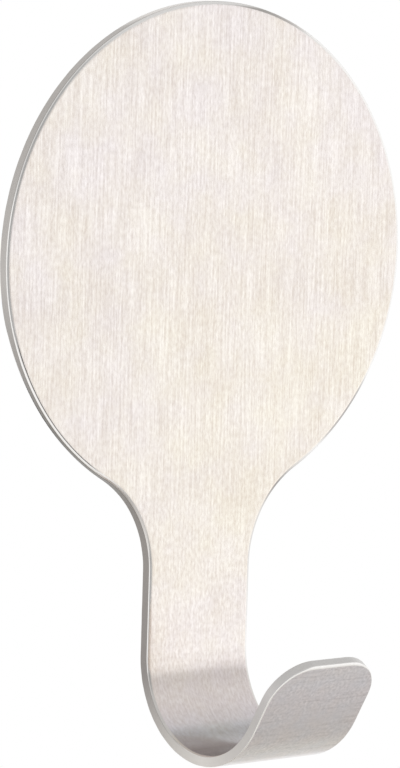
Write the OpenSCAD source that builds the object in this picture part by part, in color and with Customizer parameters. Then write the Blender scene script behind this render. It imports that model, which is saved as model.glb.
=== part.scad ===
// Self-adhesive wall hook: a round steel disc whose neck bends forward into an open hook,
// with a foam pad and a peel-off liner on its back.
// The front faces -Y and +Z is up. The origin is the disc's centre on the plane of the wall.

/* [Plate] */
// Diameter of the round face disc
disc_d = 50.5; // [36:0.5:70]
// Thickness of the steel sheet
sheet_t = 1.1; // [0.8:0.1:2]

/* [Neck] */
// Width of the neck, the bend and the lip
neck_w = 13; // [10:0.5:20]
// Radius of the hollow corners where the neck leaves the disc
neck_fillet_r = 11; // [4:0.5:20]
// Straight length of the neck, from those corners to the bend
neck_l = 8.3; // [2:0.1:30]

/* [Hook] */
// Inside radius of the bend
bend_r = 8.7; // [5:0.1:15]
// Angle that the sheet turns through, from the neck to the lip
bend_angle = 149; // [100:1:175]
// Length of the flat lip past the bend
lip_l = 7.8; // [5:0.1:16]
// Radius of the two corners at the end of the lip
lip_corner_r = 4.4; // [1:0.1:4.5]

/* [Pad] */
// Distance from the rim of the disc in to the rim of the pad
pad_inset = 2; // [1:0.5:6]
// Thickness of the foam core
foam_t = 0.8; // [0.4:0.1:2]
// Thickness of each coat of adhesive on the foam
adhesive_t = 0.1; // [0.05:0.01:0.2]

/* [Liner] */
// Thickness of the release liner
liner_t = 0.1; // [0.05:0.01:0.2]
// Length of the pull tab below the pad
tab_l = 9; // [4:0.5:14]
// Distance from each side of the neck in to the side of the tab
tab_inset = 1.5; // [0.5:0.25:3]

/* [Hidden] */
$fn = 128;

// Plane of each layer's back face, counted forward from the wall
wall_adhesive_y = liner_t;
foam_y = wall_adhesive_y + adhesive_t;
plate_adhesive_y = foam_y + foam_t;
sheet_y = plate_adhesive_y + adhesive_t;

// Distance that a cutting block stands past what it cuts
overrun = 1;
// Depth by which an arc crosses the line that it runs into, so that they meet cleanly
arc_lap = 0.0005;

// Centres of the hollow corners, which touch the disc and the sides of the neck
disc_r = disc_d / 2;
fillet_x = neck_w / 2 + neck_fillet_r;
fillet_drop = sqrt(pow(disc_r + neck_fillet_r, 2) - pow(fillet_x, 2));

// Distance from the disc's centre down to the start of the bend
bend_drop = fillet_drop + neck_l;

pad_d = disc_d - 2 * pad_inset;
tab_w = neck_w - 2 * tab_inset;

// Stands a flat outline up against the wall: its back is y_back in front of the wall
module upright(y_back, thickness) {
    translate([0, -y_back, 0])
        rotate([90, 0, 0])
            linear_extrude(thickness)
                children();
}

// Disc and neck of the flat blank, with the hollow corners that join them
module blank_outline() {
    circle(d = disc_d);
    translate([-neck_w / 2, -bend_drop])
        square([neck_w, bend_drop]);
    for (side = [-1, 1])
        difference() {
            polygon([[0, 0], [side * fillet_x, -fillet_drop], [0, -fillet_drop]]);
            translate([side * fillet_x, -fillet_drop])
                circle(r = neck_fillet_r + arc_lap);
        }
}

// The bend and the lip seen from the side. The bend's axis is at the origin, the neck comes
// down to its right, and the sheet turns on from there until the lip leaves it in a straight line.
module hook_profile() {
    outer_r = bend_r + sheet_t;
    lip_x = bend_r - arc_lap;
    difference() {
        union() {
            intersection() {
                circle(r = outer_r);
                translate([-outer_r, 0])
                    square([2 * outer_r, outer_r]);
            }
            rotate(bend_angle)
                translate([lip_x, 0])
                    square([sheet_t, lip_l]);
        }
        circle(r = bend_r);
        rotate(bend_angle)
            square([lip_x, outer_r + lip_l]);
    }
}

// What is cut off a square corner of the lip to round it, drawn about the centre of the round
module lip_corner_waste() {
    difference() {
        square(lip_corner_r + overrun);
        circle(r = lip_corner_r + arc_lap);
    }
}

// The bend and the lip across the width of the neck, with the bend's axis along Z
module bend_and_lip() {
    difference() {
        linear_extrude(neck_w, center = true)
            hook_profile();
        for (side = [-1, 1])
            rotate([0, 0, bend_angle])
                translate([bend_r - overrun, lip_l - lip_corner_r, side * (neck_w / 2 - lip_corner_r)])
                    rotate([90, 0, 90])
                        linear_extrude(sheet_t + 2 * overrun)
                            rotate(min(side, 0) * 90)
                                lip_corner_waste();
    }
}

// One stamped and bent piece of brushed steel
module hook_plate() {
    color("gainsboro")
        union() {
            upright(sheet_y, sheet_t) blank_outline();
            translate([0, -sheet_y - sheet_t - bend_r, -bend_drop])
                rotate([-90, 0, 90])
                    bend_and_lip();
        }
}

// Coat of adhesive between the disc and the foam
module plate_adhesive() {
    color("lightyellow")
        upright(plate_adhesive_y, adhesive_t) circle(d = pad_d);
}

// Foam disc that carries both coats
module foam_core() {
    color("white")
        upright(foam_y, foam_t) circle(d = pad_d);
}

// Coat of adhesive that meets the wall
module wall_adhesive() {
    color("lightyellow")
        upright(wall_adhesive_y, adhesive_t) circle(d = pad_d);
}

// Peel-off liner, with a round-ended tab that hangs behind the neck
module release_liner() {
    tab_end = pad_d / 2 + tab_l - tab_w / 2;
    color("wheat")
        upright(0, liner_t) {
            circle(d = pad_d);
            translate([-tab_w / 2, -tab_end])
                square([tab_w, tab_end]);
            translate([0, -tab_end])
                circle(d = tab_w);
        }
}

hook_plate();
plate_adhesive();
foam_core();
wall_adhesive();
release_liner();
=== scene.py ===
# %% [markdown]
# # A self-adhesive wall hook in brushed stainless steel
# The real hook is one flat blank, stamped out of steel sheet and bent up at its lower end, with a disc of
# foam tape and a peel-off liner on its back. This file dresses the measured solids of that hook: it loads
# them as a fixed frame, builds a finer surface over the pieces that need one, and gives each a material.
# Everything is in metres in the frame of the solids: the front faces -Y, the wall is at +Y, and +Z is up.

# %% Load the measured hook
import math
import bpy
import numpy as np
from mathutils import Matrix, Vector, noise


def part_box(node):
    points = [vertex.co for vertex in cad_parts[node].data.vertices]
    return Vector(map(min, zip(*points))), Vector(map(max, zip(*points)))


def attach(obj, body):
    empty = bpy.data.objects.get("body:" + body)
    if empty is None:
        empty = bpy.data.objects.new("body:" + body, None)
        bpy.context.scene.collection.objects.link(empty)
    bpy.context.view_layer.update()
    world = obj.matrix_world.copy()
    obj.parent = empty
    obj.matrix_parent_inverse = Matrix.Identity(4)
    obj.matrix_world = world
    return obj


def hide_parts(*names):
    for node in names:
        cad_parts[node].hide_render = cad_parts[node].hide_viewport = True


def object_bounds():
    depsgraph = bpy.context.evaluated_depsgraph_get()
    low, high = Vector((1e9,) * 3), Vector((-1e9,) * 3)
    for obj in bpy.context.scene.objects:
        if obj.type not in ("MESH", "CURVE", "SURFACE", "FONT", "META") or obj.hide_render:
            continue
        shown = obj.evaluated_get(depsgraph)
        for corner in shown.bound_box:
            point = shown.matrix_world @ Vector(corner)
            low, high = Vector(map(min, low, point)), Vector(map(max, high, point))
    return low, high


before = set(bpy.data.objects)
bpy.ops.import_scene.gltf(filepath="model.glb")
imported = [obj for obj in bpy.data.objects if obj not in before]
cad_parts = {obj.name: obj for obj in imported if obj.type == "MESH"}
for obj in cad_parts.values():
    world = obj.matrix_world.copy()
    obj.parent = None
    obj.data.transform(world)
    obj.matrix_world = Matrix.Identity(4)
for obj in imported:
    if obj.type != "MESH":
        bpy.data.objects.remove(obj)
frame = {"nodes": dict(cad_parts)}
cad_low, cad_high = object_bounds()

scene = bpy.context.scene
scene.view_settings.view_transform = "Standard"
print("solids:", ", ".join(frame["nodes"]))

# %% [markdown]
# ## Sizes
# A maker's drawing of the hook is in millimetres, so the sizes here are too, and one factor turns them to
# metres at the very end. The overall sizes come from the loaded solids. The few that a box can't tell, such
# as the radius of a corner, are written down again. Lengths along the sheet are called s: they start at the
# centre of the disc and run down the neck, round the bend and on to the end of the lip.

# %% Sizes of the blank, in millimetres
MM = 0.001

plate_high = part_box("hook_plate")[1] / MM
disc_r = plate_high.x
sheet_t = 1.1
front_y = plate_high.y - sheet_t
neck_w = 13.0
fillet_r = 11.0
neck_l = 8.3
bend_r = 8.7
bend_angle = math.radians(149)
lip_l = 7.8
lip_corner_r = 4.4
print(f"a disc of {2 * disc_r:.1f} mm in sheet of {sheet_t} mm")

# %% Where the parts of the blank meet
fillet_x = neck_w / 2 + fillet_r
fillet_s = math.sqrt((disc_r + fillet_r) ** 2 - fillet_x ** 2)
bend_s = fillet_s + neck_l
bend_l = (bend_r + sheet_t / 2) * bend_angle
end_s = bend_s + bend_l + lip_l
corner_s = end_s - lip_corner_r
print(f"the flat blank is {disc_r + end_s:.1f} mm long")

# %% [markdown]
# ## The rim of a stamped piece
# The hook, its foam and its liner were all stamped out of flat sheet, and all are alike on their left and
# right. So one list of points, from the middle of the top edge down the right-hand side, is enough to draw
# any of them. A point is (x, s), with x to the right. Each also holds the direction that points straight out
# of the sheet there, which the rounding of the edge will need. A curve object could draw such a rim too, but
# plain points keep every arc exact.

# %% Arcs and straight runs of a rim
def rim_arc(centre, radius, start, stop, steps, hollow=False):
    """Rows of x, s and the outward direction along an arc. Angles are in degrees, from +x towards +s."""
    angle = np.radians(np.linspace(start, stop, steps + 1))
    ray = np.stack([np.cos(angle), np.sin(angle)], axis=1)
    return np.hstack([centre + radius * ray, -ray if hollow else ray])


def rim_line(x, start, stop, steps):
    """Rows of a straight side at x, from s = start to stop, whose outward direction is +x."""
    s = np.linspace(start, stop, steps + 1)
    ones = np.ones_like(s)
    return np.stack([x * ones, s, ones, 0 * ones], axis=1)


# %% The rim of the steel blank
touch = math.degrees(math.atan2(fillet_s, fillet_x))
hook_rim = np.vstack([
    rim_arc((0, 0), disc_r, -90, touch, steps=120),
    rim_arc((fillet_x, fillet_s), fillet_r, touch + 180, 180, steps=24, hollow=True)[1:],
    rim_line(neck_w / 2, fillet_s, bend_s, steps=8)[1:],
    rim_line(neck_w / 2, bend_s, bend_s + bend_l, steps=97)[1:],
    rim_line(neck_w / 2, bend_s + bend_l, corner_s, steps=6)[1:],
    rim_arc((neck_w / 2 - lip_corner_r, corner_s), lip_corner_r, 0, 90, steps=18)[1:],
])
hook_rim[0, 0] = 0
print(f"half of the rim has {len(hook_rim)} points")

# %% [markdown]
# ## The edge of a stamped sheet
# A punch drags the face of the sheet down a little before it shears through, so the front edge is a soft
# roll, wider than it is deep. Below it lies the sheared side, and at the back a small burr that was rounded
# off. Each round is a quarter of an ellipse here, and the whole edge is one cross-section that is carried
# round the rim. A Solidify and a Bevel modifier come close to this, but here the exact direction that the
# surface faces is known at every vertex, which keeps the wide face perfectly flat right up to its edge.

# %% Cross-section of an edge
def rounded(width, depth, steps):
    """Rows of a quarter of an ellipse, from the face out to the side: distance in from the rim, depth below
    the face, share facing out, share facing back."""
    turn = np.linspace(0, math.pi / 2, steps + 1)
    sin, cos = np.sin(turn), np.cos(turn)
    size = np.hypot(depth * sin, width * cos)
    return np.stack([width * (1 - sin), depth * (1 - cos), depth * sin / size, -width * cos / size], axis=1)


def edge_section(thickness, roll, burr, round_steps, side_steps):
    """Rows of the whole section, from the front face round to the back face."""
    front = rounded(*roll, round_steps)
    back = rounded(*burr, round_steps)[::-1] * (1, -1, 1, -1) + (0, thickness, 0, 0)
    side_depth = np.linspace(front[-1, 1], back[0, 1], side_steps + 1)[1:-1]
    side = np.stack([0 * side_depth, side_depth, 0 * side_depth + 1, 0 * side_depth], axis=1)
    return np.vstack([front, side, back])


# %% [markdown]
# ## From a rim to a solid sheet
# Between each point of the rim and its mirror image runs a row of vertices, so each face of the sheet is a
# grid of narrow rows that bends cleanly later, and the edge joins the two faces all round. Every face of the
# mesh has a zone, which says what finish the steel has there: front, back, the rubbed rounds of the edge, or
# the sheared side. The brushing reaches a little way onto the front roll, and the shear starts before the
# roll has quite turned the corner. One filled outline would be quicker, but it bends badly.

# %% Vertices and faces of a blank
FRONT, BACK, ARRIS, SIDE = range(4)


class Blank:
    """A flat sheet. A vertex has a point (x, s, depth below the front face), the way it faces, and its reach
    out over the edge laid flat. A face has its corners and its zone."""

    def __init__(self):
        self.points, self.facing, self.spread = [], [], []
        self.faces, self.zones = [], []

    def vertex(self, point, facing, spread=(0.0, 0.0)):
        self.points.append(point)
        self.facing.append(facing)
        self.spread.append(spread)
        return len(self.points) - 1

    def face(self, corners, zone):
        self.faces.append(corners)
        self.zones.append(zone)


# %% The edge, column by column
ON_MIDDLE = 1e-6


def edge_columns(blank, rim, section, back_rows, eased, columns):
    """Columns of edge vertices down the right-hand side, across a straight lower end, and down the left."""
    unrolled = np.r_[0, np.cumsum(np.hypot(*np.diff(section[:, :2], axis=0).T))]
    back_corner = (0, section[-1, 1])

    def column(x, s, out_x, out_s):
        own = section.copy()
        own[-back_rows:, :2] = back_corner + eased(x, s, out_s) * (own[-back_rows:, :2] - back_corner)
        return [blank.vertex((x - out_x * inset, s - out_s * inset, depth),
                             (out_x * out, out_s * out, aft), (out_x * run, out_s * run))
                for (inset, depth, out, aft), run in zip(own, unrolled)]

    right = [column(*row) for row in rim]
    left = [column(-x, s, -out_x, out_s) if x > ON_MIDDLE else right[k]
            for k, (x, s, out_x, out_s) in enumerate(rim)]
    end_x, lower_s = rim[-1, :2]
    shares = np.linspace(1, -1, columns + 1)[1:-1] if end_x > ON_MIDDLE else []
    end = [column(end_x * share, lower_s, 0.0, 1.0) for share in shares]
    return right, end, left


# %% The two faces, row by row
def row_across(blank, right, left, columns):
    """A row of vertices from one of the right-hand edge to its mirror image."""
    if left == right:
        return [right] * (columns + 1)
    (x, s, depth), (left_x, left_s, _) = blank.points[right], blank.points[left]
    middle = [blank.vertex((x + (left_x - x) * (1 - c) / 2, s + (left_s - s) * (1 - c) / 2, depth),
                           blank.facing[right]) for c in np.linspace(1, -1, columns + 1)[1:-1]]
    return [right] + middle + [left]


def add_skin(blank, right, end, left, zone, columns):
    """The front or the back face, between the edge columns of both sides."""
    at = 0 if zone == FRONT else -1
    pairs = [(here[at], there[at]) for here, there in zip(right, left)]
    whole = pairs[:-1] if end else pairs
    rows = [row_across(blank, *pair, columns) for pair in whole]
    if end:
        rows.append([pairs[-1][0]] + [column[at] for column in end] + [pairs[-1][1]])
    for upper, lower in zip(rows, rows[1:]):
        for j in range(columns):
            corners = list(dict.fromkeys([upper[j], upper[j + 1], lower[j + 1], lower[j]]))
            blank.face(corners if zone == FRONT else corners[::-1], zone)


# %% A stamped sheet
def stamp(rim, thickness, roll, burr, eased=lambda x, s, out_s: 1.0,
          columns=24, round_steps=8, side_steps=3):
    """Flat sheet with rounded edges. roll and burr are the width and depth of the front and back rounds, and
    eased gives the share of the burr round that a place has, or one share each for its width and depth."""
    blank = Blank()
    section = edge_section(thickness, roll, burr, round_steps, side_steps)
    right, end, left = edge_columns(blank, rim, section, round_steps + 1, eased, columns)
    add_skin(blank, right, end, left, FRONT, columns)
    add_skin(blank, right, end, left, BACK, columns)
    taken = round_steps // 4
    edge_zones = ([FRONT] * taken + [ARRIS] * (round_steps - 2 * taken) + [SIDE] * (taken + side_steps)
                  + [ARRIS] * round_steps)
    up_left = [there for here, there in zip(right[::-1], left[::-1]) if there is not here]
    loop = right + end + up_left
    for here, after in zip(loop, loop[1:] + loop[:1]):
        for p, zone in enumerate(edge_zones):
            blank.face([here[p], after[p], after[p + 1], here[p + 1]], zone)
    blank.points, blank.facing, blank.spread = (
        np.array(rows) for rows in (blank.points, blank.facing, blank.spread))
    return blank


# %% [markdown]
# ## The uneven back edge of the hook
# The burr on the back isn't alike all round. It was eased most at the end of the lip, which a hand meets,
# less on the left and least on the right, and never quite evenly. At the lower left of the disc the shear
# broke through at a slant and took more of the back corner with it. A bevel that follows vertex weights
# could do this. Here a function of the place on the rim scales the round instead, so each cause is one line.

# %% How much of the burr round each place has
FRONT_ROLL = (0.52, 0.19)
BACK_BURR = (0.35, 0.15)
RIGHT_SHARE, LEFT_SHARE = 0.12, 0.4
WAVER, WAVER_L = 0.4, 0.9
END_POWER = 6
SLANT_PLACE = (-19.9, 15.5)
SLANT_REACH = 10.5
SLANT_SHARES = np.array([1.2, 3.0])


def hand_eased(x, s, out_s):
    """Shares of the burr round's width and depth at a place of the hook's rim."""
    waver = 1 + WAVER * noise.noise(Vector((x, s, 0)) / WAVER_L)
    side_share = (RIGHT_SHARE if x > 0 else LEFT_SHARE) * waver
    end_share = out_s ** END_POWER if s > corner_s else 0
    slanted = max(0.0, 1 - (math.hypot(x - SLANT_PLACE[0], s - SLANT_PLACE[1]) / SLANT_REACH) ** 2)
    return side_share + (1 - side_share) * end_share + slanted * SLANT_SHARES


hook_blank = stamp(hook_rim, sheet_t, FRONT_ROLL, BACK_BURR, hand_eased)
print(f"the flat blank has {len(hook_blank.points)} vertices and {len(hook_blank.faces)} faces")

# %% [markdown]
# ## Bending the blank
# In the press the lower end of the blank is wrapped round a bar. The middle of the sheet keeps its length,
# so a row's distance s past the start of the bend gives the angle it has turned through, and what lies past
# the bend runs on straight as the lip. Blender's Simple Deform modifier bends too, but it can't stop at an
# exact length, and this small function gives the directions of the surface as well.

# %% Bend
def bend(points, facing):
    """Carries flat x, s, depth (mm) and directions round the bend, to x, y, z (mm) and directions."""
    x, s, depth = points.T
    turn = np.clip((s - bend_s) / (bend_r + sheet_t / 2), 0, bend_angle)
    along_lip = np.maximum(s - bend_s - bend_l, 0)
    sin, cos = np.sin(turn), np.cos(turn)
    reach = bend_r + depth
    y = front_y - bend_r + reach * cos - along_lip * sin
    z = -np.minimum(s, bend_s) - reach * sin - along_lip * cos
    out_x, out_s, aft = facing.T
    faces_to = np.stack([out_x, aft * cos - out_s * sin, -aft * sin - out_s * cos], axis=1)
    return np.stack([x, y, z], axis=1), faces_to


hook_points, hook_facing = bend(hook_blank.points, hook_blank.facing)
print("the bent hook spans", hook_points.min(0).round(2), "to", hook_points.max(0).round(2), "mm")

# %% [markdown]
# ## Turning arrays into Blender objects
# A mesh is made from its vertices and faces in one call. Two more things go with it. The exact directions
# become custom normals, so the rounded edge shades smoothly. And a UV map lays the surface out flat again,
# with one unit to the millimetre, so that brushing and scratches can be drawn on the blank as it was before
# it was bent, and then follow the bend as they do on the real hook. The back lies beside the front in that
# map, so that the two don't share their scratches.

# %% Build a mesh object
FLAT_MAP = "flat_blank_mm"
BACK_SHIFT = 80.0


def build(name, blank, points, facing, materials):
    """Object from a stamped blank whose points (mm) and directions may have been bent since."""
    mesh = bpy.data.meshes.new(name)
    mesh.from_pydata((points * MM).tolist(), [], blank.faces)
    layout = mesh.uv_layers.new(name=FLAT_MAP)
    for polygon, zone in zip(mesh.polygons, blank.zones):
        polygon.use_smooth = True
        polygon.material_index = zone
        for corner in polygon.loop_indices:
            v = mesh.loops[corner].vertex_index
            x, s = blank.points[v, :2]
            reach_x, reach_s = blank.spread[v]
            layout.data[corner].uv = (BACK_SHIFT - x, -s) if zone == BACK else (x + reach_x, -s - reach_s)
    mesh.normals_split_custom_set_from_vertices(facing.tolist())
    for material in materials:
        mesh.materials.append(material)
    thing = bpy.data.objects.new(name, mesh)
    scene.collection.objects.link(thing)
    print(f"{name}: {len(mesh.vertices)} vertices, {len(mesh.polygons)} faces")
    return thing


# %% [markdown]
# ## Colours and nodes
# Colours are written as they look on a screen, in sRGB hex, and one function turns them to the linear values
# that shaders count in. A second function adds one shader node with its settings and its links, so that each
# material below reads as a list of what it is made of.

# %% Helpers for materials
def linear(code):
    """'#F2EAE3' to linear red, green, blue and an alpha of 1."""
    levels = [int(code[i:i + 2], 16) / 255 for i in (1, 3, 5)]
    return [v / 12.92 if v <= 0.04045 else ((v + 0.055) / 1.055) ** 2.4 for v in levels] + [1.0]


def add_node(tree, kind, inputs=(), stops=(), **settings):
    """Adds a node. inputs maps a socket's name or number to a value, or to the output that feeds it. stops
    are the rising places, from 0 to 1, and the colours of a colour ramp, which starts out with two."""
    node = tree.nodes.new(kind)
    for name, value in settings.items():
        setattr(node, name, value)
    for key, value in dict(inputs).items():
        if isinstance(value, bpy.types.NodeSocket):
            tree.links.new(value, node.inputs[key])
        else:
            node.inputs[key].default_value = value
    for number, (place, shade) in enumerate(stops):
        ramp = node.color_ramp.elements
        stop = ramp[number] if number < 2 else ramp.new(place)
        stop.position = place
        stop.color = linear(shade)
    return node


def new_material(name):
    """An empty node material, with its output node."""
    material = bpy.data.materials.new(name)
    material.use_nodes = True
    material.node_tree.nodes.clear()
    return material, material.node_tree, material.node_tree.nodes.new("ShaderNodeOutputMaterial")


# %% [markdown]
# ## Brushed stainless steel
# The front was rubbed with an abrasive belt that ran up and down the disc. That leaves hairlines about
# 0.1 mm apart, which make the face look pale and silky. Hundreds of real grooves would be too many to model,
# so they are stretched noise, in two lengths: long ones that the belt drew, and short ones where the grit
# skipped, which take over down the neck. They are drawn 0.25 mm wide, coarser than on the steel, so that
# they show at the size of the picture.

# %% Hairlines
HAIRLINE_W = 0.25
HAIRLINE_L = 6.5
SKIP_L = 0.6
SKIP_SHIFT = (7.3, 2.1, 0)
SKIPS_ON_DISC, SKIPS_AT_BEND = 0.4, 0.62

brushed_face, tree, output = new_material("brushed_stainless_face")
flat = add_node(tree, "ShaderNodeUVMap", uv_map=FLAT_MAP).outputs["UV"]
down = add_node(tree, "ShaderNodeSeparateXYZ", {0: flat}).outputs["Y"]
long_place = add_node(tree, "ShaderNodeMapping", {
    "Vector": flat, "Scale": (1 / HAIRLINE_W, 1 / HAIRLINE_L, 1)}).outputs[0]
long_lines = add_node(tree, "ShaderNodeTexNoise", {
    "Vector": long_place, "Scale": 1.0, "Detail": 2.0, "Roughness": 0.6}).outputs[0]
short_place = add_node(tree, "ShaderNodeMapping", {
    "Vector": flat, "Scale": (1 / HAIRLINE_W, 1 / SKIP_L, 1), "Location": SKIP_SHIFT}).outputs[0]
short_lines = add_node(tree, "ShaderNodeTexNoise", {
    "Vector": short_place, "Scale": 1.0, "Detail": 1.0, "Roughness": 0.5}).outputs[0]
skips = add_node(tree, "ShaderNodeMapRange", {
    "Value": down, "From Min": -fillet_s / 2, "From Max": -bend_s,
    "To Min": SKIPS_ON_DISC, "To Max": SKIPS_AT_BEND}).outputs[0]
hairlines = add_node(tree, "ShaderNodeMix", {
    0: skips, 2: long_lines, 3: short_lines}, data_type="FLOAT").outputs[0]
print(f"hairlines {HAIRLINE_W} mm wide, {SKIP_L} and {HAIRLINE_L} mm long")

# %% [markdown]
# ## How deep the hairlines look
# A belt never bites quite evenly, so soft clouds a few millimetres across lift and sink the pattern. Towards
# the bend, where the tool pressed on the face, the hairlines are a little smoothed out. The result is one
# number at each place: 0 is the bottom of a line and 1 the crest beside it.

# %% Depth of the hairlines
CLOUD = 6.5
CLOUD_SHARE = 0.28
SMOOTH_FROM = 8.0
SMOOTH_TO = bend_s + 9
SMOOTH_LEAST = 0.72

cloud_colour = add_node(tree, "ShaderNodeTexNoise", {
    "Vector": flat, "Scale": 1 / CLOUD, "Detail": 3.0, "Roughness": 0.6}).outputs["Color"]
clouds = add_node(tree, "ShaderNodeSeparateColor", {0: cloud_colour})
uneven = add_node(tree, "ShaderNodeMath", {
    0: clouds.outputs["Blue"], 1: CLOUD_SHARE, 2: hairlines}, operation="MULTIPLY_ADD").outputs[0]
stretched = add_node(tree, "ShaderNodeMapRange", {
    "Value": uneven, "From Min": 0.48, "From Max": 0.8}).outputs[0]
smoothed = add_node(tree, "ShaderNodeMapRange", {
    "Value": down, "From Min": -SMOOTH_FROM, "From Max": -SMOOTH_TO,
    "To Min": 1.0, "To Max": SMOOTH_LEAST}).outputs[0]
line_depth = add_node(tree, "ShaderNodeMix", {
    0: smoothed, 2: 0.5, 3: stretched}, data_type="FLOAT").outputs[0]
print(f"clouds {CLOUD} mm across, hairlines at {SMOOTH_LEAST:.0%} in the bend")

# %% [markdown]
# ## The tint of the steel
# Stainless steel is a slightly warm grey, and its tone wanders in warmer and cooler clouds. On top of that a
# warm
# reflection is painted in: a breath of straw yellow low on the right of the disc, standing in for warmer
# light from the lower right, and cooler and pinker further away. So both the bottom and the crest of a
# hairline have two colours, and the warmth of the place mixes them.

# %% Painted warm reflection
WARM_REFLECTION_PLACE = (9.0, -20.0, 0.0)
WARM_REFLECTION_REACH = 40.0
WARM_REFLECTION_NEAR, WARM_REFLECTION_FAR = 0.36, -0.26

# painted warm reflection: warmer low on the right of the disc, cooler and pinker away from it
warm_reflection_away = add_node(tree, "ShaderNodeVectorMath", {
    0: flat, 1: WARM_REFLECTION_PLACE}, operation="DISTANCE").outputs["Value"]
warm_reflection = add_node(tree, "ShaderNodeMapRange", {
    "Value": warm_reflection_away, "From Max": WARM_REFLECTION_REACH, "To Min": WARM_REFLECTION_NEAR, "To Max": WARM_REFLECTION_FAR}).outputs[0]
warm_clouds = add_node(tree, "ShaderNodeMapRange", {
    "Value": clouds.outputs["Green"], "From Min": 0.26, "From Max": 0.74}).outputs[0]
warmth = add_node(tree, "ShaderNodeMath", {
    0: warm_clouds, 1: warm_reflection}, operation="ADD", use_clamp=True).outputs[0]
valley = add_node(tree, "ShaderNodeMix", {
    0: warmth, 6: linear("#E7DEDB"), 7: linear("#E9DED0")}, data_type="RGBA").outputs[2]
crest = add_node(tree, "ShaderNodeMix", {
    0: warmth, 6: linear("#FEF8F7"), 7: linear("#FFFAEF")}, data_type="RGBA").outputs[2]
tone = add_node(tree, "ShaderNodeMix", {
    0: line_depth, 6: valley, 7: crest}, data_type="RGBA").outputs[2]
print(f"straw tint within {WARM_REFLECTION_REACH} mm of {WARM_REFLECTION_PLACE[:2]}")

# %% [markdown]
# ## Painted shade inside the bend
# Low inside the bend the face is painted darker. This is painted shade, standing in for the dark room and the
# hook itself that this hollow mirrors. A colour ramp along the bend multiplies the tint. Its stops are placed
# in millimetres past the start of the bend.

# %% Painted shade in the bend
BEND_SHADE_END = 0.95
# painted shade: these stops darken the inside of the bend
bend_shade_places = ((0.0, "#FFFFFF"), (3.1, "#F6F3F4"), (4.6, "#FEFCFE"), (6.2, "#FBF9FD"), (8.1, "#EEEEF3"),
                 (9.0, "#DCE0E5"), (9.9, "#CBCFD3"), (11.5, "#BEC1C8"), (12.2, "#B2B3B9"), (12.9, "#9E9EA3"),
                 (14.3, "#A6A8AC"), (BEND_SHADE_END * bend_l, "#FFFFFF"))
round_bend = add_node(tree, "ShaderNodeMapRange", {
    "Value": down, "From Min": -bend_s, "From Max": -bend_s - bend_l}).outputs[0]
painted_bend_shade = add_node(tree, "ShaderNodeValToRGB", {0: round_bend}, stops=[
    (past / bend_l, shade) for past, shade in bend_shade_places]).outputs[0]
tone_with_bend_shade = add_node(tree, "ShaderNodeMix", {
    0: 1.0, 6: tone, 7: painted_bend_shade}, data_type="RGBA", blend_type="MULTIPLY").outputs[2]
print(f"the bend is {bend_l:.1f} mm long")

# %% [markdown]
# ## The shine of brushed steel
# Hairlines scatter light sideways and hardly at all along their length. So the face looks soft, and yet a
# level edge in the room, such as the top of a bright wall, still shows as a fairly crisp line where the
# sheet starts to bend. Anisotropy in the shader gives that, with its tangent across the hairlines. A shallow
# bump of the same hairlines makes them glitter a little when the hook turns.

# %% Brushed face
GROOVE_DEPTH = 0.01

scuff = add_node(tree, "ShaderNodeMapRange", {
    "Value": hairlines, "From Min": 0.3, "From Max": 0.7, "To Min": 0.25, "To Max": 0.19}).outputs[0]
grooves = add_node(tree, "ShaderNodeBump", {
    "Height": hairlines, "Strength": 0.3, "Distance": GROOVE_DEPTH * MM}).outputs[0]
across = add_node(tree, "ShaderNodeTangent", direction_type="UV_MAP", uv_map=FLAT_MAP).outputs[0]
steel = add_node(tree, "ShaderNodeBsdfPrincipled", {
    "Base Color": tone_with_bend_shade, "Metallic": 1.0, "Roughness": scuff, "Anisotropic": 0.8,
    "Normal": grooves, "Tangent": across})
tree.links.new(steel.outputs[0], output.inputs["Surface"])
print(brushed_face.name, "has", len(tree.nodes), "nodes")

# %% [markdown]
# ## Mill-finished back
# The back of the sheet, which is also the outside of the bend and the lip, was never brushed. It keeps the
# fine grey satin of cold-rolled sheet, stronger in some patches than in others, with a few level scratches
# where the bending tool slid over it. The satin is noise with no direction, drawn at a third of a
# millimetre, much coarser than on the steel, so that it shows. The scratches are noise stretched sideways.

# %% Satin grain and tool marks
SATIN_W, SATIN_L = 0.33, 0.34
PATCH = 3.5
MARK_L, MARK_W = 6.0, 0.3
MARK_MOST = 0.14
SLID_FROM, SLID_TO = bend_s - 4, bend_s + 2

mill_back, tree, output = new_material("mill_stainless_back")
flat = add_node(tree, "ShaderNodeUVMap", uv_map=FLAT_MAP).outputs["UV"]
down = add_node(tree, "ShaderNodeSeparateXYZ", {0: flat}).outputs["Y"]
satin_place = add_node(tree, "ShaderNodeMapping", {
    "Vector": flat, "Scale": (1 / SATIN_W, 1 / SATIN_L, 1)}).outputs[0]
satin = add_node(tree, "ShaderNodeTexNoise", {
    "Vector": satin_place, "Scale": 1.0, "Detail": 2.0, "Roughness": 0.6}).outputs[0]
patches = add_node(tree, "ShaderNodeTexNoise", {"Vector": flat, "Scale": 1 / PATCH, "Detail": 2.0}).outputs[0]
patchy = add_node(tree, "ShaderNodeMapRange", {
    "Value": patches, "From Min": 0.35, "From Max": 0.65, "To Min": 0.3, "To Max": 0.8}).outputs[0]
mark_place = add_node(tree, "ShaderNodeMapping", {
    "Vector": flat, "Scale": (1 / MARK_L, 1 / MARK_W, 1)}).outputs[0]
tool_marks = add_node(tree, "ShaderNodeTexNoise", {
    "Vector": mark_place, "Scale": 1.0, "Detail": 2.0, "Roughness": 0.5}).outputs[0]
slid = add_node(tree, "ShaderNodeMapRange", {
    "Value": down, "From Min": -SLID_FROM, "From Max": -SLID_TO, "To Max": MARK_MOST}).outputs[0]
mark = add_node(tree, "ShaderNodeMapRange", {
    "Value": tool_marks, "From Min": 0.56, "From Max": 0.72, "To Max": slid}).outputs[0]
print(f"satin {SATIN_W} mm, tool marks {MARK_L} mm long")
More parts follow.
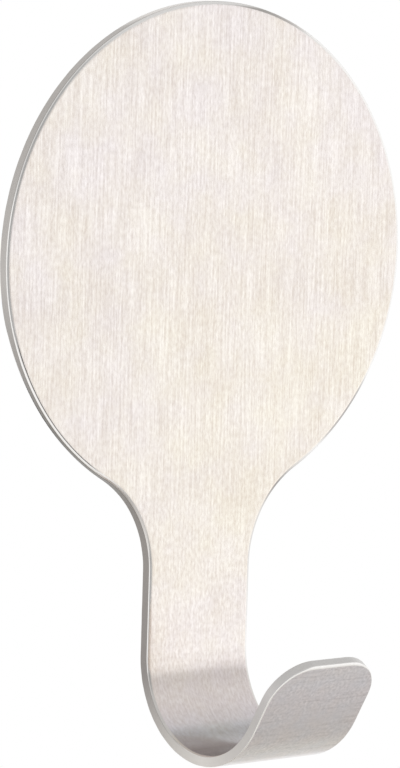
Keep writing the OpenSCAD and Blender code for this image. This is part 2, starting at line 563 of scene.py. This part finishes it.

# %% [markdown]
# ## Painted light and shade on the back
# The outside of the bend is painted a touch brighter and the lip greyer. This is painted light and shade,
# standing in for the floor and room that the back mirrors there. A colour ramp from the start of the bend to
# the end of the lip holds those tones, and a faint warm and cool staining varies them at random.

# %% Tone of the back
SATIN_MIDDLE = 0.49
STAIN = 2.2
# painted light and shade along the back, from the end of the lip to the start of the bend
back_light_places = ((end_s - bend_s, "#D5D2D2"), (18.0, "#EAE8E6"), (13.8, "#FBF9F8"), (12.8, "#E4E1DE"),
                  (10.8, "#DCD9D5"), (9.6, "#D2CECC"), (8.0, "#CDC9C8"), (4.0, "#D2CECF"), (0.0, "#D7D4D4"))

to_end = add_node(tree, "ShaderNodeMapRange", {
    "Value": down, "From Min": -bend_s, "From Max": -end_s}).outputs[0]
painted_back_light = add_node(tree, "ShaderNodeValToRGB", {0: to_end}, stops=[
    (1 - from_end / (end_s - bend_s), shade) for from_end, shade in back_light_places]).outputs[0]
stain_noise = add_node(tree, "ShaderNodeTexNoise", {
    "Vector": flat, "Scale": 1 / STAIN, "Detail": 2.0}).outputs[0]
stained = add_node(tree, "ShaderNodeMapRange", {
    "Value": stain_noise, "From Min": 0.3, "From Max": 0.7}).outputs[0]
stain = add_node(tree, "ShaderNodeMix", {
    0: stained, 6: linear("#FFFCFB"), 7: linear("#FBFCFF")}, data_type="RGBA").outputs[2]
back_light_and_stain = add_node(tree, "ShaderNodeMix", {
    0: 1.0, 6: painted_back_light, 7: stain}, data_type="RGBA", blend_type="MULTIPLY").outputs[2]
centred = add_node(tree, "ShaderNodeMath", {0: satin, 1: SATIN_MIDDLE}, operation="SUBTRACT").outputs[0]
grain = add_node(tree, "ShaderNodeMath", {0: centred, 1: patchy, 2: 1.0}, operation="MULTIPLY_ADD").outputs[0]
marked = add_node(tree, "ShaderNodeMath", {0: grain, 1: mark}, operation="SUBTRACT").outputs[0]
back_tone = add_node(tree, "ShaderNodeMix", {
    0: 1.0, 6: back_light_and_stain, 7: marked}, data_type="RGBA", blend_type="MULTIPLY").outputs[2]
print(len(back_light_places), "tones from the start of the bend to the end of the lip")

# %% Mill-finished back
SATIN_DEPTH = 0.01

pits = add_node(tree, "ShaderNodeBump", {
    "Height": satin, "Strength": 0.2, "Distance": SATIN_DEPTH * MM}).outputs[0]
steel = add_node(tree, "ShaderNodeBsdfPrincipled", {
    "Base Color": back_tone, "Metallic": 1.0, "Roughness": 0.36, "Normal": pits})
tree.links.new(steel.outputs[0], output.inputs["Surface"])
print(mill_back.name, "has", len(tree.nodes), "nodes")

# %% [markdown]
# ## Burnished rounds
# Tumbling in a drum of pebbles rubs the rounds of a stamped edge bright, and leaves tiny nicks. So they catch
# thin highlights. A colour ramp along the rim, one for each side, paints shade on them: it dims their
# highlights in the hollow corners beside the neck, inside the bend, and on a few short stretches on each side
# of the disc.
# Its stops are lengths s.

# %% Where the rounds are painted darker
BEND_EASE = 0.15


def along_rim(places):
    """Stops for places given by s, counted from the top of the disc to the end of the lip."""
    return [((disc_r + s) / (disc_r + end_s), shade) for s, shade in places]


# painted shade on the rounds: these ramps dim their highlights
in_bend = ((bend_s, "#FFFFFF"), (bend_s + BEND_EASE * bend_l, "#E2E0DE"),
           (bend_s + (1 - BEND_EASE) * bend_l, "#E2E0DE"), (bend_s + bend_l, "#FFFFFF"), (end_s, "#FFFFFF"))
left_round_shade = ((-disc_r, "#FFFFFF"), (21.0, "#FFFFFF"), (22.1, "#F4F2F0"), (23.9, "#BDBAB8"),
             (26.2, "#D0CDCB"), (28.8, "#E6E4E2"), (fillet_s, "#FFFFFF"))
right_round_shade = ((-disc_r, "#FFFFFF"), (-25.2, "#BCB9B7"), (-23.4, "#D6D3D1"), (-22.2, "#FFFFFF"),
              (13.0, "#FFFFFF"), (14.8, "#CBC9C7"), (16.9, "#BCB9B7"), (18.8, "#CDCAC8"), (20.4, "#FFFFFF"),
              (22.1, "#E7E5E3"), (23.9, "#A6A3A1"), (26.2, "#E7E5E3"), (fillet_s, "#EDEBEA"))
print(len(left_round_shade + in_bend), "stops on the left,", len(right_round_shade + in_bend), "on the right")

# %% Gloss and painted shade of the rounds
NICK = 0.5

burnished_arris, tree, output = new_material("burnished_stainless_arris")
flat = add_node(tree, "ShaderNodeUVMap", uv_map=FLAT_MAP).outputs["UV"]
axes = add_node(tree, "ShaderNodeSeparateXYZ", {0: flat})
along = add_node(tree, "ShaderNodeMapRange", {
    "Value": axes.outputs["Y"], "From Min": disc_r, "From Max": -end_s}).outputs[0]
on_left, on_right = (
    add_node(tree, "ShaderNodeValToRGB", {0: along}, stops=along_rim(side_shade + in_bend)).outputs[0]
    for side_shade in (left_round_shade, right_round_shade))
is_right = add_node(tree, "ShaderNodeMath", {
    0: axes.outputs["X"], 1: 0.0}, operation="GREATER_THAN").outputs[0]
round_shade = add_node(tree, "ShaderNodeMix", {0: is_right, 6: on_left, 7: on_right}, data_type="RGBA").outputs[2]
nicks = add_node(tree, "ShaderNodeTexNoise", {"Vector": flat, "Scale": 1 / NICK, "Detail": 2.0}).outputs[0]
gloss = add_node(tree, "ShaderNodeMix", {
    0: nicks, 6: linear("#F0EDEA"), 7: linear("#FFFEFC")}, data_type="RGBA").outputs[2]
gloss_with_round_shade = add_node(tree, "ShaderNodeMix", {
    0: 1.0, 6: gloss, 7: round_shade}, data_type="RGBA", blend_type="MULTIPLY").outputs[2]
print(f"nicks {NICK} mm across")

# %% [markdown]
# ## The slanted break
# At the lower left of the disc, where the shear broke through at a slant, the front roll ends in a thin
# painted dark line. It is a painted reflection, standing in for the dark patch in front that the roll mirrors
# there. The broken corner at the back is dull, pale grey metal that no pebble has rubbed. The distance from
# the disc's centre in the flat map tells front and back apart, and the distance from the middle of the break
# fades both out.

# %% Painted dark line and break
CREASE_W = 0.2
FADE_FROM, FADE_TO = 0.9, 0.7

from_centre = add_node(tree, "ShaderNodeVectorMath", {0: flat}, operation="LENGTH").outputs["Value"]
at_crease = add_node(tree, "ShaderNodeMapRange", {
    "Value": from_centre, "From Min": disc_r + CREASE_W / 2, "From Max": disc_r}).outputs[0]
at_back = add_node(tree, "ShaderNodeMapRange", {
    "Value": from_centre, "From Min": disc_r + sheet_t / 2, "From Max": disc_r + sheet_t}).outputs[0]
break_away = add_node(tree, "ShaderNodeVectorMath", {
    0: flat, 1: (SLANT_PLACE[0], -SLANT_PLACE[1], 0)}, operation="DISTANCE").outputs["Value"]
near_break = add_node(tree, "ShaderNodeMapRange", {
    "Value": break_away, "From Min": FADE_FROM * SLANT_REACH, "From Max": FADE_TO * SLANT_REACH}).outputs[0]
either = add_node(tree, "ShaderNodeMath", {0: at_crease, 1: at_back}, operation="MAXIMUM").outputs[0]
painted_line_and_break = add_node(tree, "ShaderNodeMath", {0: either, 1: near_break}, operation="MULTIPLY").outputs[0]
# a painted dark line on the front roll, and the dull grey of the broken back corner
dark_line_and_dull_break = add_node(tree, "ShaderNodeMix", {
    0: at_back, 6: linear("#6E6B69"), 7: linear("#C2BEBC")}, data_type="RGBA").outputs[2]
round_tone = add_node(tree, "ShaderNodeMix", {
    0: painted_line_and_break, 6: gloss_with_round_shade, 7: dark_line_and_dull_break}, data_type="RGBA").outputs[2]
glint = add_node(tree, "ShaderNodeMapRange", {"Value": nicks, "To Min": 0.08, "To Max": 0.2}).outputs[0]
steel = add_node(tree, "ShaderNodeBsdfPrincipled", {
    "Base Color": round_tone, "Metallic": 1.0, "Roughness": glint})
tree.links.new(steel.outputs[0], output.inputs["Surface"])
print(burnished_arris.name, "has", len(tree.nodes), "nodes")

# %% [markdown]
# ## Sheared side
# Between the rounds the press sheared the steel through, which leaves a dull grey side with fine drag marks,
# drawn 0.4 mm apart so that they show. Another ramp along the rim paints light and shade on it: brightest at
# the top of the disc and round the bend, darkest where the disc turns into the neck. It is a painted
# reflection, standing in for the lit and shadowed surroundings close to the hook that the side mirrors.

# %% Sheared edge
DRAG = 0.4
# painted light and shade along the sheared side
side_light_places = ((-disc_r, "#DCD8D4"), (-24.8, "#DEDAD6"), (-23.4, "#B6B2AE"), (-15, "#B2AEAA"),
                 (2, "#C0BCB8"), (17.5, "#8A8682"), (fillet_s, "#9C9793"), (bend_s + 2, "#96918E"),
                 (bend_s + 10, "#C4C0BB"), (bend_s + 15, "#D8D4CF"), (bend_s + 20, "#C8C4C0"),
                 (bend_s + 25, "#BFBBB8"), (corner_s, "#C4C0BE"), (end_s, "#DCDAD8"))

sheared_edge, tree, output = new_material("sheared_stainless_edge")
flat = add_node(tree, "ShaderNodeUVMap", uv_map=FLAT_MAP).outputs["UV"]
down = add_node(tree, "ShaderNodeSeparateXYZ", {0: flat}).outputs["Y"]
along = add_node(tree, "ShaderNodeMapRange", {
    "Value": down, "From Min": disc_r, "From Max": -end_s}).outputs[0]
painted_side_light = add_node(tree, "ShaderNodeValToRGB", {0: along}, stops=along_rim(side_light_places)).outputs[0]
drag = add_node(tree, "ShaderNodeTexNoise", {"Vector": flat, "Scale": 1 / DRAG, "Detail": 3.0}).outputs[0]
rough = add_node(tree, "ShaderNodeMapRange", {"Value": drag, "To Min": 0.3, "To Max": 0.5}).outputs[0]
steel = add_node(tree, "ShaderNodeBsdfPrincipled", {
    "Base Color": painted_side_light, "Metallic": 1.0, "Roughness": rough})
tree.links.new(steel.outputs[0], output.inputs["Surface"])
print(sheared_edge.name, "has", len(tree.nodes), "nodes")

# %% [markdown]
# ## The steel hook
# The bent blank and its four finishes make one object, as the real hook is one piece of steel. It rides on
# the body of the hook and takes the place of the plain solid. Each zone of the blank is the number of its
# finish in the list.

# %% The steel hook
hook = build("steel_hook", hook_blank, hook_points, hook_facing,
             [brushed_face, mill_back, burnished_arris, sheared_edge])
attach(hook, "hook")
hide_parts("hook_plate")

# %% [markdown]
# ## Foam tape
# Between the hook and the wall is a disc of white polyethylene foam with glue on both sides. It looks matt
# and a little milky, because light goes in among its cells and comes out again nearby. Its cut cells are
# about 0.2 mm across, and a Voronoi pattern of that size tints and dents it.

# %% White polyethylene foam
CELL = 0.22
CELL_DEPTH = 0.05
MILKY = 0.2

white_foam, tree, output = new_material("white_polyethylene_foam")
place = add_node(tree, "ShaderNodeTexCoord").outputs["Object"]
cells = add_node(tree, "ShaderNodeTexVoronoi", {
    "Vector": place, "Scale": 1 / (CELL * MM)}).outputs["Distance"]
foam_tone = add_node(tree, "ShaderNodeMix", {
    0: cells, 6: linear("#D9D8D3"), 7: linear("#F6F5F1")}, data_type="RGBA").outputs[2]
dents = add_node(tree, "ShaderNodeBump", {
    "Height": cells, "Strength": 0.6, "Distance": CELL_DEPTH * MM}).outputs[0]
foam = add_node(tree, "ShaderNodeBsdfPrincipled", {
    "Base Color": foam_tone, "Roughness": 0.85, "IOR": 1.5, "Subsurface Weight": 0.2,
    "Subsurface Scale": MILKY * MM, "Normal": dents})
tree.links.new(foam.outputs[0], output.inputs["Surface"])
print(white_foam.name, "has cells of", CELL, "mm")

# %% [markdown]
# ## The foam disc
# A cutting die punched the disc out, which squeezes the foam. Afterwards its cut side swells a little at
# mid-height and is rough with open cells. The same stamp function makes the disc, and then the vertices of
# its side are pushed outwards: by a parabola for the swelling, and by noise for the cells.

# %% The foam disc
FOAM_ROUND = (0.06, 0.06)
SWELL = 0.12
LEAST_SWELL = 0.01
CUT_ROUGH = 0.04
SIDE_BAND = 0.1

foam_low, foam_high = (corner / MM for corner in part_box("foam_core"))
pad_r = foam_high.x
foam_t = foam_high.y - foam_low.y
foam_rim = rim_arc((0, 0), pad_r, -90, 90, steps=360)
foam_rim[[0, -1], 0] = 0
foam_blank = stamp(foam_rim, foam_t, FOAM_ROUND, FOAM_ROUND, columns=12, round_steps=2, side_steps=6)
x, s, depth = foam_blank.points.T
swell = SWELL * (1 - (2 * depth / foam_t - 1) ** 2)
cut = np.array([CUT_ROUGH * noise.noise(Vector(point) / CELL) for point in foam_blank.points])
on_side = np.hypot(x, s) > pad_r - SIDE_BAND
grow = (swell + cut * (swell > LEAST_SWELL)) * on_side / pad_r
foam_points = np.stack([x * (1 + grow), foam_low.y + depth, -s * (1 + grow)], axis=1)
foam_facing = foam_blank.facing[:, [0, 2, 1]] * (1, 1, -1)
foam_disc = build("foam_disc", foam_blank, foam_points, foam_facing, [white_foam] * 4)
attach(foam_disc, "hook")
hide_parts("foam_core")

# %% [markdown]
# ## Acrylic glue
# The two coats are clear acrylic glue, 0.1 mm thick. Spread on white foam it looks like wet cream paper:
# glossy, with a faint ripple from the coating roller. The solids already have the right shape, so they stay
# and only take this material.

# %% Acrylic glue
RIPPLE = 2.5
RIPPLE_DEPTH = 0.04

acrylic_glue, tree, output = new_material("acrylic_glue_coat")
place = add_node(tree, "ShaderNodeTexCoord").outputs["Object"]
ripple = add_node(tree, "ShaderNodeTexNoise", {
    "Vector": place, "Scale": 1 / (RIPPLE * MM), "Detail": 2.0}).outputs[0]
glue_tone = add_node(tree, "ShaderNodeMix", {
    0: ripple, 6: linear("#EFEADB"), 7: linear("#F6F3E8")}, data_type="RGBA").outputs[2]
wet = add_node(tree, "ShaderNodeMapRange", {"Value": ripple, "To Min": 0.12, "To Max": 0.28}).outputs[0]
waves = add_node(tree, "ShaderNodeBump", {
    "Height": ripple, "Strength": 0.4, "Distance": RIPPLE_DEPTH * MM}).outputs[0]
glue = add_node(tree, "ShaderNodeBsdfPrincipled", {
    "Base Color": glue_tone, "Roughness": wet, "IOR": 1.48, "Normal": waves})
tree.links.new(glue.outputs[0], output.inputs["Surface"])
for coat in ("plate_adhesive", "wall_adhesive"):
    frame["nodes"][coat].data.materials.clear()
    frame["nodes"][coat].data.materials.append(acrylic_glue)
    print(coat, "takes", acrylic_glue.name)

# %% [markdown]
# ## Glassine paper
# The liner is glassine, which is paper pressed dense and coated with silicone. It is honey-coloured, faintly
# cloudy where its fibres lie closer, and has a low sheen. Noise of about 1.4 mm gives the clouds, and a very
# shallow bump gives the sheen something to play on.

# %% Glassine paper
FIBRE = 1.4
FIBRE_DEPTH = 0.02

glassine, tree, output = new_material("glassine_liner_paper")
place = add_node(tree, "ShaderNodeTexCoord").outputs["Object"]
fibres = add_node(tree, "ShaderNodeTexNoise", {
    "Vector": place, "Scale": 1 / (FIBRE * MM), "Detail": 5.0, "Roughness": 0.65}).outputs[0]
cloudy = add_node(tree, "ShaderNodeMapRange", {"Value": fibres, "From Min": 0.3, "From Max": 0.7}).outputs[0]
honey = add_node(tree, "ShaderNodeMix", {
    0: cloudy, 6: linear("#E6D3A6"), 7: linear("#F0E2BE")}, data_type="RGBA").outputs[2]
sheen = add_node(tree, "ShaderNodeMapRange", {"Value": fibres, "To Min": 0.32, "To Max": 0.5}).outputs[0]
felt = add_node(tree, "ShaderNodeBump", {
    "Height": fibres, "Strength": 0.25, "Distance": FIBRE_DEPTH * MM}).outputs[0]
paper = add_node(tree, "ShaderNodeBsdfPrincipled", {
    "Base Color": honey, "Roughness": sheen, "IOR": 1.5, "Normal": felt})
tree.links.new(paper.outputs[0], output.inputs["Surface"])
print(glassine.name, "has", len(tree.nodes), "nodes")

# %% [markdown]
# ## The release liner
# It keeps the glue clean until the hook is put up, and comes off by a tab. The tab hangs free below the foam,
# and free paper curls: this one lifts off the plane of the wall by a third of a millimetre, behind the neck.
# A lattice could curl it, but one parabola down the tab is enough. The liner rides on a body of its own.

# %% The liner
LINER_ROUND = (0.03, 0.03)
TAB_R = 5.0
CURL = 0.35

liner_low, liner_high = (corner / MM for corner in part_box("release_liner"))
liner_t = liner_high.y - liner_low.y
tab_s = -liner_low.z - TAB_R
root_s = math.sqrt(pad_r ** 2 - TAB_R ** 2)
liner_rim = np.vstack([
    rim_arc((0, 0), pad_r, -90, math.degrees(math.atan2(root_s, TAB_R)), steps=150),
    rim_line(TAB_R, root_s, tab_s, steps=8)[1:],
    rim_arc((0, tab_s), TAB_R, 0, 90, steps=30)[1:],
])
liner_rim[[0, -1], 0] = 0
liner_blank = stamp(liner_rim, liner_t, LINER_ROUND, LINER_ROUND, columns=16, round_steps=2, side_steps=1)
x, s, depth = liner_blank.points.T
curl = CURL * np.clip((s - root_s) / (tab_s + TAB_R - root_s), 0, 1) ** 2
liner_points = np.stack([x, liner_low.y + depth - curl, -s], axis=1)
liner_facing = liner_blank.facing[:, [0, 2, 1]] * (1, 1, -1)
liner = build("liner_sheet", liner_blank, liner_points, liner_facing, [glassine] * 4)
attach(liner, "liner")
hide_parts("release_liner")

# %% [markdown]
# ## The camera
# The photograph was taken from the left and a little above, with a long lens. The camera is placed by
# what it has to show: its two angles and its roll, the distance to the middle of the disc's face, how many
# pixels make a millimetre there, and the pixel that the middle of the disc falls on.

# %% Where the camera stands
FRAME_W, FRAME_H = 400, 768
CAMERA_LEFT = math.radians(39.16)
CAMERA_ABOVE = math.radians(6.155)
CAMERA_ROLL = math.radians(1.715)
CAMERA_AWAY = 458.1
PIXELS_PER_MM = 10.0
DISC_PIXEL = (209.485, 254.295)

level = Vector((math.sin(CAMERA_LEFT), math.cos(CAMERA_LEFT), 0))
ahead = level * math.cos(CAMERA_ABOVE) - Vector((0, 0, math.sin(CAMERA_ABOVE)))
right = Vector((math.cos(CAMERA_LEFT), -math.sin(CAMERA_LEFT), 0))
up = right.cross(ahead)
right, up = (right * math.cos(CAMERA_ROLL) + up * math.sin(CAMERA_ROLL),
             up * math.cos(CAMERA_ROLL) - right * math.sin(CAMERA_ROLL))
beside = (DISC_PIXEL[0] - FRAME_W / 2) / PIXELS_PER_MM
above = (FRAME_H / 2 - DISC_PIXEL[1]) / PIXELS_PER_MM
stand = Vector((0, front_y, 0)) - ahead * CAMERA_AWAY - right * beside - up * above
print("the camera stands at", [round(v) for v in stand], "mm")

# %% Camera
SENSOR = 36.0

lens = bpy.data.cameras.new("photo_camera")
lens.sensor_width = SENSOR
lens.lens = PIXELS_PER_MM * CAMERA_AWAY * SENSOR / FRAME_H
camera = bpy.data.objects.new("photo_camera", lens)
camera.matrix_world = Matrix.Translation(stand * MM) @ Matrix((right, up, -ahead)).transposed().to_4x4()
scene.collection.objects.link(camera)
scene.camera = camera
print(f"a {lens.lens:.0f} mm lens, {CAMERA_AWAY:.0f} mm away")

# %% [markdown]
# ## The room that the steel mirrors
# Metal shows the room around it more than its own colour, so the room matters here. Its walls are white to
# just above eye level, and the ceiling is grey. The backdrop behind the hook and the wall on the far right
# are white all the way up, and in front there is a tall, darker patch where the camera stands. A panorama
# of a studio would do the same, but a few ramps over the direction of a ray are easier to move about.

# %% Walls and ceiling
WALL_TOP = 0.19
WALL_BLUR = 0.065
CEILING = 0.7
BACKDROP_EDGE = (0.25, 0.6)
RIGHT_WALL_EDGE = (0.78, 0.88)

world = bpy.data.worlds.new("white_studio")
scene.world = world
world.use_nodes = True
tree = world.node_tree
tree.nodes.clear()
look = add_node(tree, "ShaderNodeTexCoord").outputs["Generated"]
axes = add_node(tree, "ShaderNodeSeparateXYZ", {0: look})
walls_and_ceiling = add_node(tree, "ShaderNodeMapRange", {
    "Value": axes.outputs["Z"], "From Min": WALL_TOP - WALL_BLUR, "From Max": WALL_TOP + WALL_BLUR,
    "To Min": 1.0, "To Max": CEILING}, interpolation_type="SMOOTHSTEP").outputs[0]
backdrop = add_node(tree, "ShaderNodeMapRange", {
    "Value": axes.outputs["Y"], "From Min": BACKDROP_EDGE[0], "From Max": BACKDROP_EDGE[1]},
    interpolation_type="SMOOTHSTEP").outputs[0]
right_wall = add_node(tree, "ShaderNodeMapRange", {
    "Value": axes.outputs["X"], "From Min": RIGHT_WALL_EDGE[0], "From Max": RIGHT_WALL_EDGE[1]},
    interpolation_type="SMOOTHSTEP").outputs[0]
all_white = add_node(tree, "ShaderNodeMath", {0: backdrop, 1: right_wall}, operation="MAXIMUM").outputs[0]
around = add_node(tree, "ShaderNodeMix", {
    0: all_white, 2: walls_and_ceiling, 3: 1.0}, data_type="FLOAT").outputs[0]
print("the wall ends", round(math.degrees(math.asin(WALL_TOP))), "degrees above eye level")

# %% The dark patch in front
STAND_TO = Vector((0.14, -0.98, -0.05)).normalized()
STAND_STRETCH = (1, 1, 0.45)
STAND_EDGE = (math.cos(math.radians(24)), math.cos(math.radians(9)))
STAND_SHADE = 0.4

lowered = add_node(tree, "ShaderNodeVectorMath", {
    0: look, 1: STAND_STRETCH}, operation="MULTIPLY").outputs[0]
squat = add_node(tree, "ShaderNodeVectorMath", {0: lowered}, operation="NORMALIZE").outputs[0]
to_stand = add_node(tree, "ShaderNodeVectorMath", {
    0: squat, 1: STAND_TO}, operation="DOT_PRODUCT").outputs["Value"]
camera_stand = add_node(tree, "ShaderNodeMapRange", {
    "Value": to_stand, "From Min": STAND_EDGE[0], "From Max": STAND_EDGE[1]},
    interpolation_type="SMOOTHSTEP").outputs[0]
room = add_node(tree, "ShaderNodeMix", {
    0: camera_stand, 2: around, 3: STAND_SHADE}, data_type="FLOAT").outputs[0]
print(f"the patch has {STAND_SHADE:.0%} of the brightness of the walls")

# %% [markdown]
# ## Who sees the room
# Only mirror-like rays see that room. The camera, also through anything clear, sees plain white behind the
# hook, and matt surfaces get an even light. The Light Path node tells these rays apart.

# %% World
EVEN_LIGHT = 0.8

ray = add_node(tree, "ShaderNodeLightPath")
even = add_node(tree, "ShaderNodeBackground", {"Color": linear("#FFFFFF"), "Strength": EVEN_LIGHT}).outputs[0]
mirrored = add_node(tree, "ShaderNodeBackground", {"Color": room, "Strength": 1.0}).outputs[0]
white = add_node(tree, "ShaderNodeBackground", {"Color": linear("#FFFFFF"), "Strength": 1.0}).outputs[0]
lit = add_node(tree, "ShaderNodeMixShader", {
    0: ray.outputs["Is Glossy Ray"], 1: even, 2: mirrored}).outputs[0]
seen = add_node(tree, "ShaderNodeMath", {
    0: ray.outputs["Is Camera Ray"], 1: ray.outputs["Is Transmission Ray"]}, operation="MAXIMUM").outputs[0]
shown = add_node(tree, "ShaderNodeMixShader", {0: seen, 1: lit, 2: white}).outputs[0]
add_node(tree, "ShaderNodeOutputWorld", {"Surface": shown})
print(world.name, "has", len(tree.nodes), "nodes")

# %% [markdown]
# ## Lamps
# Four soft panels light the hook. Two stand low on the right, where the flat face and the neck mirror them.
# One stands on the left and gives the rounded edges their bright lines. The last is high up on the left and
# casts the soft shadow on the floor; the steel doesn't mirror it. Area lamps are made for such panels. Their
# strength is given by how bright the panel's face looks, so a bigger panel needs no new number.

# %% Lamps
def panel(name, place, width, height, radiance, mirrored=True):
    """A soft panel at place (mm) that faces the hook. Its power follows from how bright its face looks."""
    lamp = bpy.data.lights.new(name, "AREA")
    lamp.shape = "RECTANGLE"
    lamp.size = width * MM
    lamp.size_y = height * MM
    lamp.energy = radiance * math.pi * lamp.size * lamp.size_y
    thing = bpy.data.objects.new(name, lamp)
    thing.location = Vector(place) * MM
    thing.rotation_euler = Vector(place).to_track_quat("Z", "Y").to_euler()
    thing.visible_camera = False
    thing.visible_glossy = mirrored
    scene.collection.objects.link(thing)
    print(f"{name}: {lamp.energy:.2f} W")


panel("right_panel", place=(410, -580, -200), width=700, height=440, radiance=0.08)
panel("low_panel", place=(450, -550, -230), width=700, height=196, radiance=0.035)
panel("left_panel", place=(-700, -50, 0), width=500, height=280, radiance=0.15)
panel("high_panel", place=(-350, -250, 600), width=500, height=500, radiance=1.2, mirrored=False)

# %% [markdown]
# ## The floor
# The hook hangs in the air, as in the photograph, so the floor lies well below it and only catches a soft
# shadow. It is a round sheet of pale paint. Away from the hook it fades to the white of the background, but
# only for rays that would see that background, so it sends no more light up at the hook.

# %% Floor paint
FLOOR_DROP = 100.0
FLOOR_R = 450.0
FADE_NEAR, FADE_FAR = 0.19 * FLOOR_R, 0.45 * FLOOR_R

pale_floor, tree, output = new_material("pale_studio_floor")
place = add_node(tree, "ShaderNodeTexCoord").outputs["Object"]
far = add_node(tree, "ShaderNodeVectorMath", {0: place}, operation="LENGTH").outputs["Value"]
fade = add_node(tree, "ShaderNodeMapRange", {
    "Value": far, "From Min": FADE_NEAR * MM, "From Max": FADE_FAR * MM},
    interpolation_type="SMOOTHSTEP").outputs[0]
ray = add_node(tree, "ShaderNodeLightPath")
seen = add_node(tree, "ShaderNodeMath", {
    0: ray.outputs["Is Camera Ray"], 1: ray.outputs["Is Glossy Ray"]}, operation="MAXIMUM").outputs[0]
seen = add_node(tree, "ShaderNodeMath", {
    0: seen, 1: ray.outputs["Is Transmission Ray"]}, operation="MAXIMUM").outputs[0]
whitened = add_node(tree, "ShaderNodeMath", {0: fade, 1: seen}, operation="MULTIPLY").outputs[0]
paint = add_node(tree, "ShaderNodeBsdfPrincipled", {
    "Base Color": linear("#EEECE8"), "Roughness": 0.8}).outputs[0]
glow = add_node(tree, "ShaderNodeEmission", {"Color": linear("#FFFFFF"), "Strength": 1.0}).outputs[0]
mixed = add_node(tree, "ShaderNodeMixShader", {0: whitened, 1: paint, 2: glow}).outputs[0]
tree.links.new(mixed, output.inputs["Surface"])
print(pale_floor.name, "is white from", round(FADE_FAR), "mm out")

# %% Floor
RING_POINTS = 96

turns = np.linspace(0, 2 * math.pi, RING_POINTS, endpoint=False)
ring = [(FLOOR_R * MM * math.cos(turn), FLOOR_R * MM * math.sin(turn), 0) for turn in turns]
floor_mesh = bpy.data.meshes.new("floor")
floor_mesh.from_pydata(ring, [], [list(range(RING_POINTS))])
floor_mesh.materials.append(pale_floor)
floor = bpy.data.objects.new("floor", floor_mesh)
floor.location.z = cad_low.z - FLOOR_DROP * MM
scene.collection.objects.link(floor)
print("floor at", round(floor.location.z / MM), "mm")

# %% [markdown]
# ## The size of the solids
# The dressed hook has to be the size of the solids, whose box is written out here.

# %% Size of the solids
print("solids", [round(v / MM, 2) for v in (*cad_low, *cad_high)])
